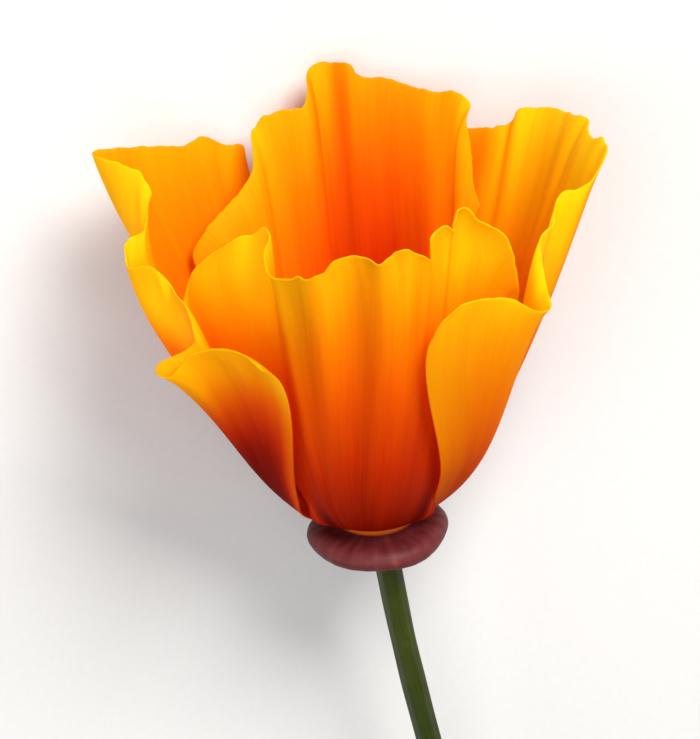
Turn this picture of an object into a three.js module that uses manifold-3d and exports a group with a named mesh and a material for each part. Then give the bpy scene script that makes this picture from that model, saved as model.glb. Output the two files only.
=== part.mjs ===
// A four-petalled poppy on a cut stem, lying with its front petal up.
//
// Everything is modelled in the flower's own frame and then laid down:
//   +Y  along the flower's axis, from the stem to the mouth
//   +Z  towards the front petal
//   +X  towards the right petal
// Azimuths run round the axis in degrees: 0 right, 90 front, 180 left, 270 back.
// Units are millimetres.

import * as THREE from 'three';
import { mergeVertices } from 'three/addons/utils/BufferGeometryUtils.js';
import Module from 'manifold-3d';

const wasm = await Module();
wasm.setup();

// ---------------------------------------------------------------- dimensions

const PETAL_THICKNESS = 0.6;
const PETAL_ROWS = 8; // steps from the foot to the rim
const COLUMNS_PER_RIM_POINT = 2; // steps across the blade
const PLEAT_WINDOW = 0.08; // share of the rim that is averaged for the middle of the blade

const INNER_FOOT = { radius: 3.2, height: 1.2, lift: 18, reach: 0.2 };
const OUTER_FOOT = { radius: 4.3, height: 0.6, lift: 18, reach: 0.24 };

const BRIM_RADIUS = 6.2; // widest part of the receptacle
const BRIM_TOP = -0.3;
const BRIM_BOTTOM = -1.7;
const BOSS_RADIUS = 2.9; // raised middle that carries petals and stamens
const BOSS_TOP = 0.9;
const NECK_RADIUS = 1.35; // where the receptacle narrows to the stem
const NECK_BOTTOM = -4.0;
const RECEPTACLE_SIDES = 36;

const STEM_RADIUS = 1.1;
const STEM_SIDES = 10;
const STEM_STEPS = 26;
const SEAT_GAP = 0.3; // clearance between touching pieces

const STAMEN_COUNT = 18;
const STAMEN_LENGTH = 11.5;
const STAMEN_RING_RADIUS = 1.95;
const STAMEN_SIDES = 6;
const FILAMENT_RADIUS = 0.3;
const ANTHER_RADIUS = 0.48;
const ANTHER_SHARE = 0.5; // of the stamen's length
const STAMEN_LEAN = 7; // degrees outward, least
const STAMEN_LEAN_SPREAD = 5;
const STAMEN_RING_HEIGHT = 0.8;

const OVARY_RADIUS = 0.85;
const OVARY_LENGTH = 8.6;
const OVARY_SIDES = 10;
const STIGMA_RADIUS = 0.3;
const STIGMAS = [
  // azimuth, lean in degrees, length
  [20, 24, 6.0],
  [110, 16, 4.2],
  [200, 26, 5.6],
  [290, 18, 4.4],
];

const LYING_PITCH = 9.5; // the mouth is raised by this angle, degrees
const REST_CUT = 0.3; // depth of the flat spots that the flower lies on

// ------------------------------------------------------------------- petals

// Each rim runs from one side margin over the top to the other one. A belly is
// how far the middle of the blade stands out from the straight line between foot
// and rim, as a share of that line, at even steps along the rim. Pleat is how
// much of the rim's waves reaches the middle of the blade.

const PETALS = [
  {
    name: 'petal_front',
    colour: 0xff9a06,
    foot: INNER_FOOT,
    azimuths: [172, 24],
    pleat: 0.55,
    belly: [0.07, 0.08, 0.08, 0.07, 0.07, 0.065, 0.05, 0.03, 0.0],
    rim: [
      [-13.9, 24.0, 1.3], [-13.3, 25.7, 1.6], [-12.4, 27.3, 2.4], [-9.6, 31.0, 5.6],
      [-8.2, 31.8, 6.2], [-7.0, 32.6, 7.6], [-6.9, 31.2, 11.0], [-6.4, 29.8, 12.0],
      [-3.6, 29.8, 12.6], [-2.6, 30.6, 12.8], [-1.1, 31.6, 13.0], [1.0, 31.7, 13.2],
      [2.1, 31.0, 13.3], [3.2, 32.0, 12.9], [4.2, 31.9, 13.4], [6.0, 30.8, 12.5],
      [6.4, 32.6, 11.6], [7.4, 32.6, 10.2], [8.4, 32.0, 9.8], [8.6, 33.5, 9.2],
      [9.6, 33.3, 8.4], [11.3, 31.0, 8.4], [12.7, 28.5, 8.3], [13.3, 25.0, 7.2],
      [12.8, 21.5, 6.0],
    ],
  },
  {
    name: 'petal_back',
    colour: 0xff7a04,
    foot: INNER_FOOT,
    azimuths: [352, 188],
    pleat: 0.55,
    belly: [0.05, 0.06, 0.07, 0.07, 0.07, 0.05, 0.0],
    rim: [
      [11.4, 24.6, -9.2], [11.1, 28.5, -10.2], [11.0, 31.4, -10.9], [11.0, 33.5, -12.1],
      [10.2, 33.6, -13.4], [8.0, 33.5, -14.6], [6.4, 33.8, -15.6], [4.7, 34.4, -16.2],
      [2.6, 34.7, -16.3], [1.5, 35.5, -16.3], [0.9, 36.2, -16.3], [-0.7, 36.5, -16.5],
      [-2.0, 36.0, -16.6], [-2.4, 34.3, -14.9], [-3.0, 33.4, -14.2], [-6.0, 33.0, -14.6],
      [-7.6, 32.0, -14.3], [-8.0, 29.0, -11.5], [-9.2, 27.5, -10.5], [-11.5, 26.0, -9.0],
      [-12.9, 24.2, -7.9], [-13.3, 21.8, -6.9],
    ],
  },
  {
    name: 'petal_left',
    colour: 0xffa010,
    foot: OUTER_FOOT,
    azimuths: [252, 165],
    pleat: 0.3,
    belly: [0.05, 0.07, 0.1, 0.1, 0.095, 0.065, 0.05, 0.045, 0.035, 0.03],
    rim: [
      [-6.9, 24.2, -18.4], [-8.5, 26.8, -17.7], [-8.7, 29.1, -17.0], [-11.7, 31.0, -15.0],
      [-16.3, 32.5, -10.5], [-20.6, 34.8, -5.4], [-17.1, 34.0, -2.7], [-16.2, 32.6, -1.9],
      [-16.9, 29.9, -0.6], [-18.8, 28.7, 0.8], [-18.6, 27.5, 2.2], [-16.6, 27.8, 3.0],
      [-15.4, 26.4, 4.2], [-14.0, 26.0, 7.0], [-13.4, 24.8, 9.0], [-13.3, 23.7, 9.8],
      [-15.0, 22.4, 10.2], [-16.4, 22.3, 11.4], [-15.7, 22.2, 12.0], [-13.8, 24.2, 12.6],
      [-11.2, 25.0, 13.4], [-9.5, 24.4, 13.6], [-8.0, 22.7, 13.4],
    ],
  },
  {
    name: 'petal_right',
    colour: 0xffac10,
    foot: OUTER_FOOT,
    azimuths: [288, 375],
    pleat: 0.3,
    belly: [0.05, 0.06, 0.05, 0.05, 0.065, 0.065, 0.06, 0.055, 0.045],
    rim: [
      [6.6, 24.9, -18.65], [8.2, 28.8, -17.5], [10.9, 30.4, -14.8], [13.2, 31.2, -12.2],
      [14.8, 31.5, -11.9], [15.5, 32.6, -11.3], [17.2, 33.0, -10.3], [20.4, 34.2, -4.8],
      [20.4, 33.4, -2.0], [21.6, 34.6, 1.2], [21.4, 34.0, 2.6], [19.9, 32.2, 4.0],
      [17.2, 31.4, 4.6], [16.3, 30.0, 6.2], [15.2, 29.0, 7.8], [15.0, 27.0, 9.2],
      [15.2, 25.6, 10.4], [15.4, 24.8, 11.8], [14.0, 25.4, 12.8], [12.1, 26.8, 13.0],
      [8.6, 27.0, 13.6], [7.2, 26.0, 13.5], [6.0, 24.2, 12.9],
    ],
  },
];

// ----------------------------------------------------------------- geometry

const UP = new THREE.Vector3(0, 1, 0);

/** Unit vector pointing away from the axis at an azimuth in degrees. */
function outward(azimuth) {
  const angle = THREE.MathUtils.degToRad(azimuth);
  return new THREE.Vector3(Math.cos(angle), 0, Math.sin(angle));
}

/** Mean of a curve over a window about t, narrowed near the curve's ends. */
function averagedPoint(curve, t, window) {
  const samples = 7;
  const half = Math.min(window, t, 1 - t);
  const mean = new THREE.Vector3();
  for (let i = 0; i < samples; i++) {
    const offset = half * ((2 * i) / (samples - 1) - 1);
    mean.addScaledVector(curve.getPoint(t + offset), 1 / samples);
  }
  return mean;
}

/** Grid of points, row by row from foot to rim, of a petal's middle surface. */
function petalGrid({ foot, azimuths, pleat, belly, rim }) {
  const rimPoints = rim.map(([x, y, z]) => new THREE.Vector3(x, y, z));
  const rimCurve = new THREE.CatmullRomCurve3(rimPoints, false, 'centripetal');
  const bellyCurve = new THREE.SplineCurve(belly.map((share, i) => new THREE.Vector2(i, share)));
  const columns = Math.round((rim.length - 1) * COLUMNS_PER_RIM_POINT);
  const lift = THREE.MathUtils.degToRad(foot.lift);
  const grid = Array.from({ length: PETAL_ROWS + 1 }, () => []);
  for (let column = 0; column <= columns; column++) {
    const t = column / columns;
    const azimuth = THREE.MathUtils.lerp(azimuths[0], azimuths[1], t);
    const start = outward(azimuth).multiplyScalar(foot.radius).addScaledVector(UP, foot.height);
    const end = rimCurve.getPoint(t);
    const calmEnd = averagedPoint(rimCurve, t, PLEAT_WINDOW).lerp(end, pleat);
    const length = start.distanceTo(calmEnd);
    const along = calmEnd.clone().sub(start).divideScalar(length);
    const middle = start.clone().lerp(calmEnd, 0.5);
    const bulge = new THREE.Vector3(middle.x, 0, middle.z).normalize();
    bulge.addScaledVector(along, -bulge.dot(along)).normalize();
    middle.addScaledVector(bulge, bellyCurve.getPoint(t).y * length);
    // A cubic that leaves the foot at its lift and passes through the middle.
    const leave = outward(azimuth).multiplyScalar(Math.cos(lift)).addScaledVector(UP, Math.sin(lift));
    const first = start.clone().addScaledVector(leave, foot.reach * length);
    const second = middle.multiplyScalar(8).sub(start).sub(end).divideScalar(3).sub(first);
    const line = new THREE.CubicBezierCurve3(start, first, second, end);
    for (let row = 0; row <= PETAL_ROWS; row++) {
      grid[row].push(line.getPoint(row / PETAL_ROWS));
    }
  }
  return grid;
}

/** Indexed geometry of a grid of points, each cell split along the same diagonal. */
function gridGeometry(grid) {
  const width = grid[0].length;
  const indices = [];
  for (let row = 0; row < grid.length - 1; row++) {
    for (let column = 0; column < width - 1; column++) {
      const corner = row * width + column;
      indices.push(corner, corner + 1, corner + width + 1);
      indices.push(corner, corner + width + 1, corner + width);
    }
  }
  const geometry = new THREE.BufferGeometry().setFromPoints(grid.flat());
  geometry.setIndex(indices);
  geometry.computeVertexNormals();
  return geometry;
}

/** Closed shell of even thickness about a grid of points. */
function shellGeometry(grid, thickness) {
  const sheet = gridGeometry(grid);
  const points = grid.flat();
  const normals = sheet.getAttribute('normal');
  const shift = (side) => points.map((point, i) => {
    const normal = new THREE.Vector3().fromBufferAttribute(normals, i);
    return point.clone().addScaledVector(normal, (side * thickness) / 2);
  });
  const count = points.length;
  const faces = Array.from(sheet.getIndex().array);
  const indices = [...faces];
  for (let i = 0; i < faces.length; i += 3) {
    indices.push(faces[i] + count, faces[i + 2] + count, faces[i + 1] + count);
  }
  const border = borderLoop(grid.length, grid[0].length);
  border.forEach((from, i) => {
    const to = border[(i + 1) % border.length];
    indices.push(from, from + count, to + count);
    indices.push(from, to + count, to);
  });
  const geometry = new THREE.BufferGeometry().setFromPoints([...shift(1), ...shift(-1)]);
  geometry.setIndex(indices);
  return facingOut(geometry);
}

/** Vertex numbers round the border of a grid, in the order that its cells turn. */
function borderLoop(height, width) {
  const loop = [];
  for (let column = 0; column < width - 1; column++) loop.push(column);
  for (let row = 0; row < height - 1; row++) loop.push(row * width + width - 1);
  for (let column = width - 1; column > 0; column--) loop.push((height - 1) * width + column);
  for (let row = height - 1; row > 0; row--) loop.push(row * width);
  return loop;
}

/** The same closed geometry with its faces turned outward. */
function facingOut(geometry) {
  const position = geometry.getAttribute('position');
  const index = geometry.getIndex().array;
  const corner = (i) => new THREE.Vector3().fromBufferAttribute(position, index[i]);
  let volume = 0;
  for (let i = 0; i < index.length; i += 3) {
    volume += corner(i).dot(corner(i + 1).cross(corner(i + 2)));
  }
  if (volume < 0) index.reverse();
  return geometry;
}

/** Manifold solid of a closed geometry. */
function toSolid(geometry) {
  const bare = geometry.clone();
  bare.deleteAttribute('normal');
  bare.deleteAttribute('uv');
  const merged = mergeVertices(bare, 1e-4);
  return new wasm.Manifold(new wasm.Mesh({
    numProp: 3,
    vertProperties: Float32Array.from(merged.getAttribute('position').array),
    triVerts: Uint32Array.from(merged.getIndex().array),
  }));
}

/** Closed geometry of a manifold solid. */
function toGeometry(solid) {
  const mesh = solid.getMesh();
  const geometry = new THREE.BufferGeometry();
  geometry.setAttribute('position', new THREE.BufferAttribute(mesh.vertProperties, mesh.numProp));
  geometry.setIndex(new THREE.BufferAttribute(mesh.triVerts, 1));
  return geometry;
}

/** One solid of several overlapping closed geometries. */
function fused(geometries) {
  return toGeometry(geometries.map(toSolid).reduce((whole, piece) => whole.add(piece)));
}

/** A round rod that stands on a point and leans away from the axis. */
function leaningRod(profile, sides, root, azimuth, lean) {
  const rod = new THREE.LatheGeometry(profile.map(([r, y]) => new THREE.Vector2(r, y)), sides);
  const direction = outward(azimuth).multiplyScalar(Math.sin(lean)).addScaledVector(UP, Math.cos(lean));
  rod.applyQuaternion(new THREE.Quaternion().setFromUnitVectors(UP, direction));
  return rod.translate(root.x, root.y, root.z);
}

/** Repeatable random numbers from 0 to 1. */
function seededRandom(seed) {
  let state = seed;
  return () => {
    state = (state * 1664525 + 1013904223) % 4294967296;
    return state / 4294967296;
  };
}

// ------------------------------------------------------------------- pieces

function receptacle() {
  const profile = [
    [0, NECK_BOTTOM],
    [NECK_RADIUS, NECK_BOTTOM],
    [NECK_RADIUS + 0.6, -3.3],
    [3.4, -2.6],
    [BRIM_RADIUS - 1.0, BRIM_BOTTOM - 0.35],
    [BRIM_RADIUS - 0.25, BRIM_BOTTOM],
    [BRIM_RADIUS, (BRIM_TOP + BRIM_BOTTOM) / 2],
    [BRIM_RADIUS - 0.15, BRIM_TOP - 0.15],
    [BRIM_RADIUS - 0.5, BRIM_TOP],
    [BRIM_RADIUS - 1.2, BRIM_TOP - 0.2],
    [4.2, BRIM_TOP - 0.05],
    [BOSS_RADIUS + 0.5, BOSS_TOP - 0.65],
    [BOSS_RADIUS - 0.1, BOSS_TOP - 0.1],
    [BOSS_RADIUS - 0.4, BOSS_TOP],
    [0, BOSS_TOP],
  ];
  return new THREE.LatheGeometry(profile.map(([r, y]) => new THREE.Vector2(r, y)), RECEPTACLE_SIDES);
}

function stem() {
  const path = new THREE.CatmullRomCurve3([
    new THREE.Vector3(0.55, NECK_BOTTOM - SEAT_GAP, 0),
    new THREE.Vector3(1.3, -12, 0.1),
    new THREE.Vector3(2.65, -22, 0.3),
    new THREE.Vector3(4.9, -36, 0.4),
    new THREE.Vector3(7.6, -50, -0.1),
    new THREE.Vector3(10.2, -61, -0.7),
    new THREE.Vector3(13.0, -71, -1.55),
  ]);
  const section = new THREE.Shape();
  for (let side = 0; side < STEM_SIDES; side++) {
    const angle = (2 * Math.PI * side) / STEM_SIDES;
    const [x, y] = [STEM_RADIUS * Math.cos(angle), STEM_RADIUS * Math.sin(angle)];
    if (side === 0) section.moveTo(x, y);
    else section.lineTo(x, y);
  }
  section.closePath();
  return new THREE.ExtrudeGeometry(section, { steps: STEM_STEPS, extrudePath: path });
}

function stamens() {
  const random = seededRandom(7);
  const floor = BOSS_TOP + SEAT_GAP;
  const ringWidth = 0.6;
  const ring = new THREE.LatheGeometry([
    new THREE.Vector2(STAMEN_RING_RADIUS - ringWidth, floor),
    new THREE.Vector2(STAMEN_RING_RADIUS + ringWidth, floor),
    new THREE.Vector2(STAMEN_RING_RADIUS + ringWidth, floor + STAMEN_RING_HEIGHT),
    new THREE.Vector2(STAMEN_RING_RADIUS - ringWidth, floor + STAMEN_RING_HEIGHT),
    new THREE.Vector2(STAMEN_RING_RADIUS - ringWidth, floor),
  ], 24);
  const pieces = [ring];
  for (let i = 0; i < STAMEN_COUNT; i++) {
    const azimuth = (360 * (i + 0.3 * random())) / STAMEN_COUNT;
    const length = STAMEN_LENGTH * (0.85 + 0.2 * random());
    const lean = THREE.MathUtils.degToRad(STAMEN_LEAN + STAMEN_LEAN_SPREAD * (i % 2) + random());
    const antherStart = length * (1 - ANTHER_SHARE);
    const profile = [
      [0, 0],
      [FILAMENT_RADIUS, 0],
      [FILAMENT_RADIUS, antherStart],
      [ANTHER_RADIUS, antherStart + 0.6],
      [ANTHER_RADIUS, length - 1.4],
      [ANTHER_RADIUS * 0.6, length - 0.2],
      [0, length],
    ];
    const root = outward(azimuth).multiplyScalar(STAMEN_RING_RADIUS).addScaledVector(UP, floor + 0.3);
    pieces.push(leaningRod(profile, STAMEN_SIDES, root, azimuth, lean));
  }
  return fused(pieces);
}

function pistil() {
  const floor = BOSS_TOP + SEAT_GAP;
  const ovary = new THREE.LatheGeometry([
    new THREE.Vector2(0, floor),
    new THREE.Vector2(OVARY_RADIUS, floor),
    new THREE.Vector2(OVARY_RADIUS, floor + OVARY_LENGTH * 0.45),
    new THREE.Vector2(OVARY_RADIUS * 0.72, floor + OVARY_LENGTH * 0.85),
    new THREE.Vector2(OVARY_RADIUS * 0.5, floor + OVARY_LENGTH),
    new THREE.Vector2(0, floor + OVARY_LENGTH),
  ], OVARY_SIDES);
  const pieces = [ovary];
  for (const [azimuth, lean, length] of STIGMAS) {
    const profile = [[0, 0], [STIGMA_RADIUS, 0], [STIGMA_RADIUS, length - 0.4], [0, length]];
    const root = new THREE.Vector3(0, floor + OVARY_LENGTH - 0.7, 0);
    pieces.push(leaningRod(profile, 6, root, azimuth, THREE.MathUtils.degToRad(lean)));
  }
  return fused(pieces);
}

function material(colour, roughness) {
  return new THREE.MeshStandardMaterial({ color: colour, roughness, metalness: 0 });
}

function piece(name, geometry, look) {
  const mesh = new THREE.Mesh(geometry, look);
  mesh.name = name;
  return mesh;
}

// ----------------------------------------------------------------- assembly

const flower = new THREE.Group();
flower.rotation.x = THREE.MathUtils.degToRad(LYING_PITCH);

for (const petal of PETALS) {
  const shell = shellGeometry(petalGrid(petal), PETAL_THICKNESS);
  flower.add(piece(petal.name, shell, material(petal.colour, 0.45)));
}
flower.add(piece('receptacle', receptacle(), material(0x8c4a48, 0.6)));
flower.add(piece('stem', stem(), material(0x4a5f1c, 0.55)));
flower.add(piece('stamens', stamens(), material(0xff8a10, 0.7)));
flower.add(piece('pistil', pistil(), material(0x8f9a3a, 0.6)));

// The lowest points are cut off flat at the surface that the flower lies on.
const lying = new THREE.Group();
lying.add(flower);
lying.updateMatrixWorld(true);
const reach = new THREE.Box3().setFromObject(lying, true);
const surface = reach.min.z + REST_CUT;
const size = reach.getSize(new THREE.Vector3()).length();
const below = new THREE.BoxGeometry(2 * size, 2 * size, size);
below.translate(0, 0, surface - size / 2);
below.applyMatrix4(flower.matrixWorld.clone().invert());
const ground = toSolid(below);
for (const mesh of flower.children) {
  const box = new THREE.Box3().setFromObject(mesh, true);
  if (box.min.z < surface) mesh.geometry = toGeometry(toSolid(mesh.geometry).subtract(ground));
}

// The origin is under the middle of the whole flower, on that surface.
const middle = new THREE.Box3().setFromObject(lying, true).getCenter(new THREE.Vector3());
flower.position.set(-middle.x, -middle.y, -surface);

export default lying;
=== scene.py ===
"""Looks of a four-petalled poppy that lies on a pale table, set in place by its packed receptacle.

Shapes are worked out in millimetres in the flower's own frame and then laid down in the row frame:
  +Y  along the flower's axis, from the stem to the mouth
  +Z  towards the front petal
  +X  towards the right petal
Azimuths run round the axis in degrees: 0 right, 90 front, 180 left, 270 back.
"""

import math

import bpy
import numpy as np
from mathutils import Matrix, Vector


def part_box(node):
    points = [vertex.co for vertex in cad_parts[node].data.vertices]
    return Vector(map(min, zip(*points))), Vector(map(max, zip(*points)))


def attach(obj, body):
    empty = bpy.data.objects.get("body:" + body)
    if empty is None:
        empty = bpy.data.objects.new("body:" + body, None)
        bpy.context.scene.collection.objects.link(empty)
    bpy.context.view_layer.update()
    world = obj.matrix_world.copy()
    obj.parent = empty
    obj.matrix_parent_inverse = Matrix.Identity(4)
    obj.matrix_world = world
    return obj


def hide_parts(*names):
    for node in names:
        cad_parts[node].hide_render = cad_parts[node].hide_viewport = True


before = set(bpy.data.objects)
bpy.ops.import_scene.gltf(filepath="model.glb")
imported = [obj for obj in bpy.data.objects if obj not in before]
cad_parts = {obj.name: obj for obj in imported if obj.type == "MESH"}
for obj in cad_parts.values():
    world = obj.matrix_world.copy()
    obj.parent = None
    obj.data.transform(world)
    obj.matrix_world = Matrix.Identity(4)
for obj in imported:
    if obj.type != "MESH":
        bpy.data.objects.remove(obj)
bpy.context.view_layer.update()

# --------------------------------------------------------------- dimensions

MM = 0.001
LYING_PITCH = math.radians(9.5)  # the mouth is raised by this angle

PLEAT_WINDOW = 0.08  # the middle of the blade takes the rim's mean over this share to either side
PLEAT_SAMPLES = 7
INNER_FOOT = {"radius": 3.2, "height": 0.95, "lift": 18, "reach": 0.2}
OUTER_FOOT = {"radius": 4.3, "height": 0.45, "lift": 18, "reach": 0.24}
PETAL_COLUMNS = 340
PETAL_ROWS = 76
ROW_POWER = 0.92  # below 1, so that the rows draw closer together towards the rim
PINCHED_ROWS = 7  # the last rows, which the rim's waves press together
PETAL_THICKNESS = 0.3  # at the foot
RIM_THICKNESS = 0.14
RIM_TOOTH = 0.14  # height of the small teeth along the rim
TOOTH_WAVES = [(0.6, 1.1), (0.4, 0.42)]  # share of the height, millimetres along the rim
TOOTH_FADE = 0.12  # share of the rim over which the teeth grow from each of its ends
TOOTH_SQUARENESS = 0.9  # 1 would make the teeth stand square to the rim
FOLD_HEIGHT = 0.2  # of the soft folds that run up the blade
FOLD_WAVES = [(0.75, 3.4, 2.2), (0.3, 1.3, 3.0)]  # share, millimetres across, changes up the blade
FOLD_DRIFT = 0.8  # how far the folds lean aside from foot to rim, in widths of a fold
FOLD_RISE = (0.12, 0.95)  # shares of the blade's height over which the folds grow
FOLD_PAINTED_SHADE = 0.3  # painted shade in the hollows of the folds and painted light on their ridges, for each millimetre
PAINTED_SHADE_LIMIT = 0.5  # millimetres of hollow or ridge that still change the painted shade
RIM_CURL = 0.25  # the last of the blade bends outward by this much
CURL_START = 0.86  # share of the blade's height
CORNER_HEIGHT = 0.28  # the foot's corners are cut back below this share

BRIM_RADIUS = 6.2
BRIM_MIDDLE = -1.0
NECK_RADIUS = 1.35
NECK_BOTTOM = -4.0
BOSS_TOP = 0.9
RECEPTACLE_SIDES = 160
RECEPTACLE_STEPS = 150
RECEPTACLE_PROFILE = [  # radius and height, from the neck over the brim to the boss
    (0.02, NECK_BOTTOM), (NECK_RADIUS * 0.7, NECK_BOTTOM), (NECK_RADIUS, NECK_BOTTOM + 0.1),
    (NECK_RADIUS + 0.6, -3.3), (3.4, -2.65), (BRIM_RADIUS - 1.0, -2.05), (BRIM_RADIUS - 0.25, -1.6),
    (BRIM_RADIUS, BRIM_MIDDLE), (BRIM_RADIUS - 0.15, -0.5), (BRIM_RADIUS - 0.55, -0.12),
    (BRIM_RADIUS - 1.2, 0.1), (4.3, 0.18), (3.5, 0.38), (2.8, BOSS_TOP - 0.12), (2.4, BOSS_TOP),
    (0.02, BOSS_TOP),
]
RECEPTACLE_RIBS = 26
RIB_HEIGHT = 0.022
BRIM_WAVES = [(0.1, 3, 40), (0.06, 5, 0)]  # height, number round the brim, degrees of shift
BRIM_DRAW = 0.012  # share by which the brim is drawn in where the waves rise as high as the first

STEM_RADIUS = 1.1
STEM_RIBS = 7
STEM_SIDES = 42
STEM_STEPS = 220
STEM_PATH = [
    (0.55, -3.9, 0), (0.6, -4.6, 0), (1.3, -12, 0.1), (2.65, -22, 0.3), (4.9, -36, 0.4),
    (7.6, -50, -0.1), (10.2, -61, -0.7), (13.0, -71, -1.55),
]

ROD_STEPS = 40  # of stamens and stigmas
STAMEN_COUNT = 30
STAMEN_LENGTH = 11.3
STAMEN_RINGS = [(2.25, 11), (1.55, 6)]  # radius and lean, used in turn
FILAMENT_RADII = (0.2, 0.11)  # at the root and inside the anther
ANTHER_SHARE = 0.52  # of the stamen's length
ANTHER_RADIUS = 0.4
OVARY_RADIUS = 0.85
OVARY_LENGTH = 8.6
STIGMAS = [(20, 24, 6.0), (110, 16, 4.2), (200, 26, 5.6), (290, 18, 4.4)]  # azimuth, lean, length

# The camera, in the flower's frame: it looks down on the flower from the front.
VIEW_ELEVATION = math.radians(27.0)  # above the plane across the flower's axis
VIEW_ROLL = math.radians(5.5)
VIEW_DISTANCE = 290.0
VIEW_CENTRE = (-2.381, 13.138, 7.264)  # right, up and towards the camera from the flower's origin
VIEW_HEIGHT = 62.84  # what the frame's longer side, its height, takes in at that point
SENSOR = 36.0
FLOOR_REACH = 3.0  # metres to each side

CURVE_SAMPLES = 4000
NOISE_VALUES = 4096
NOISE_ROW = 37.7  # how far apart the rows of sheet noise are taken from one line of noise
TINY = 1e-9  # keeps a length of 0 from being divided by
ACROSS_AXIS = np.array([1, 0, 1])  # leaves out what runs along the flower's axis

# ------------------------------------------------------------------- petals

# Each rim runs from one side margin over the top to the other one. A belly is
# how far the middle of the blade stands out from the straight line between foot
# and rim, as a share of that line, at even steps through the rim's points. Pleat
# is how much of the rim's waves reaches the middle of the blade. The seed picks
# the noise of the teeth, folds and veins.
# Across runs from 0 to 1 with the length of the rim, and along from foot to rim.
# A trim moves one place of the rim:
# (across, half width across, millimetres up the blade, millimetres to the right).
# The foot's corners are cut back by shares of the petal's width. A bump is one
# place where the blade stands out from the axis, or in if it is below 0:
# (across, along, half width across, half height along, millimetres).
# Warmth is the colour's place from 0, dark red, to 1, yellow: at even steps from
# foot to rim, for the outer and the inner face. It is partly the petal's own colour
# and partly painted light and shade: yellower where light shines through towards the
# rim, redder and darker in the shade at the foot. A patch is one place where a face
# is redder or yellower, and darker or lighter, mostly painted light and shade: light
# where light shines through or where a neighbouring petal's shadow falls, shade in
# folds and creases turned from the lamps: (face, across, along, half width across,
# half height along, change of warmth, change of painted light and shade).

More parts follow.
